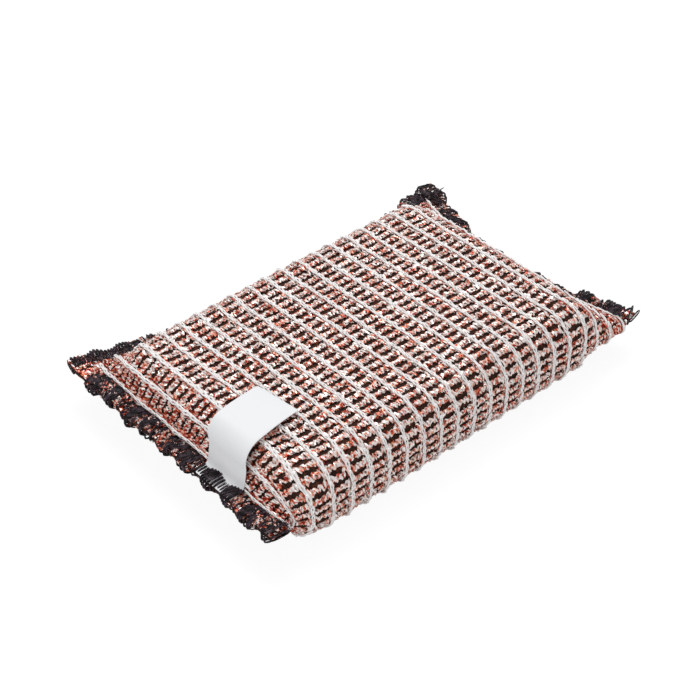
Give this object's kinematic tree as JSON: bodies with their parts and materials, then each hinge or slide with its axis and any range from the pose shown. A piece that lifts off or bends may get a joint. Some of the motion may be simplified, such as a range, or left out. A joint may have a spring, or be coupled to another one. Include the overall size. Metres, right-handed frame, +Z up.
{
  "type": "pot scrubber",
  "caption": "Flat stuffed pot scrubber: a foam block in a ribbed knitted pouch of copper tinsel, with frilled overlocked seams, pointed corners and a folded tape label.",
  "frame": {"origin": "middle of the flat underside of the stuffed body, on the surface that the part rests on", "axes": "+X along the length from the end that holds the tape label to the plain end, +Y from the folded long side to the seamed long side, +Z up"},
  "size_m": [0.1384, 0.0912, 0.0249],
  "materials": {
    "foam": "open-cell polyurethane foam",
    "copper_knit": "warp knit of metallised copper tinsel",
    "white_yarn": "white chain-stitched polyester yarn",
    "overlock_thread": "dark multifilament polyester thread",
    "white_tape": "blank white satin tape"
  },
  "bodies": {
    "pouch": {"foam_core": "foam", "knitted_pouch": "copper_knit", "chain_stitch_ribs": "white_yarn", "near_end_upper_looper_thread": "overlock_thread", "near_end_lower_looper_thread": "overlock_thread", "near_end_needle_thread": "overlock_thread", "long_side_upper_looper_thread": "overlock_thread", "long_side_lower_looper_thread": "overlock_thread", "long_side_needle_thread": "overlock_thread", "far_end_upper_looper_thread": "overlock_thread", "far_end_lower_looper_thread": "overlock_thread", "far_end_needle_thread": "overlock_thread", "label_tail": "white_tape"},
    "label": {"label_flap": "white_tape"}
  },
  "joints": [
    {"name": "label_lift", "type": "hinge", "parent": "pouch", "child": "label", "pos_m": [-0.05695, -0.0132, 0.01425], "axis": [0, -1, 0], "range_deg": [0, 90]}
  ]
}
